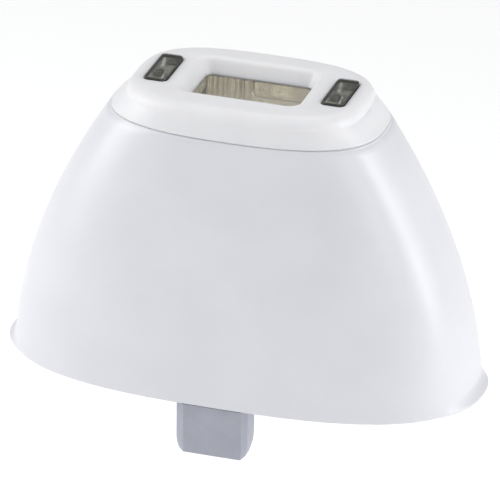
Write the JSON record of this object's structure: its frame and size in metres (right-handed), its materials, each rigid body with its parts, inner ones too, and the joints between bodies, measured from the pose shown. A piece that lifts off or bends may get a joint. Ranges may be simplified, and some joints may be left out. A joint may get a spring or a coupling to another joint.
{
  "type": "lamp cartridge for a flash hair remover",
  "caption": "Flared oval light cartridge with a recessed glass skin window, two sprung contact pads, end finger lips and a keyed plug below.",
  "frame": {"origin": "centre of the base plate's underside, in the plane of the shell's lower rim", "axes": "+X along the long side, +Z from the base up to the skin window, the plug hangs below the base at the front, -Y"},
  "size_m": [0.085, 0.0402, 0.0623],
  "materials": {
    "pearl_shell": "pearl satin",
    "white_cap": "satin",
    "filter_glass": "clear, faintly warm",
    "black_rubber": "matte",
    "reflector_metal": "polished",
    "quartz": "clear",
    "nickel": "drawn",
    "silicone": "matte",
    "carrier_plastic": "matte",
    "screw_steel": "zinc plated",
    "spring_steel": "bright",
    "circuit_board": "solder mask",
    "sensor_package": "moulded epoxy",
    "base_plastic": "fine texture",
    "mesh_metal": "etched",
    "plug_plastic": "satin",
    "contact_brass": "gold flashed",
    "insulator": "matte",
    "lead_blue": "silicone sleeve",
    "lead_red": "silicone sleeve",
    "lead_orange": "silicone sleeve",
    "lead_grey": "silicone sleeve",
    "smoky_pad": "smoky translucent"
  },
  "bodies": {
    "cartridge": {"housing_shell": "pearl_shell", "top_cap": "white_cap", "filter_glass": "filter_glass", "glass_gasket": "black_rubber", "reflector": "reflector_metal", "reflector_ends": "reflector_metal", "flash_tube": "quartz", "lamp_electrodes": "nickel", "lamp_holder_left": "silicone", "lamp_holder_right": "silicone", "trigger_wire": "nickel", "lamp_carrier": "carrier_plastic", "carrier_screws": "screw_steel", "pad_springs_left": "spring_steel", "pad_springs_right": "spring_steel", "sensor_board_left": "circuit_board", "sensor_board_right": "circuit_board", "skin_sensor_left": "sensor_package", "skin_sensor_right": "sensor_package", "base_plate": "base_plastic", "base_screws": "screw_steel", "vent_mesh": "mesh_metal", "air_duct": "carrier_plastic", "connector_plug": "plug_plastic", "contact_strips": "contact_brass", "id_board": "circuit_board", "id_chip": "sensor_package", "power_socket_left": "contact_brass", "power_socket_right": "contact_brass", "socket_insulator_left": "insulator", "socket_insulator_right": "insulator", "hv_lead_left": "lead_blue", "hv_lead_right": "lead_red", "trigger_lead": "lead_orange", "sensor_lead_left": "lead_grey", "sensor_lead_right": "lead_grey"},
    "pad_left": {"sensor_pad_left": "smoky_pad"},
    "pad_right": {"sensor_pad_right": "smoky_pad"}
  },
  "joints": [
    {"name": "pad_left_press", "type": "slide", "parent": "cartridge", "child": "pad_left", "axis": [0, 0, -1], "range_m": [0, 0.0005], "stiffness_N_per_m": 400, "deforming": ["pad_springs_left"]},
    {"name": "pad_right_press", "type": "slide", "parent": "cartridge", "child": "pad_right", "axis": [0, 0, -1], "range_m": [0, 0.0005], "stiffness_N_per_m": 400, "deforming": ["pad_springs_right"]}
  ]
}
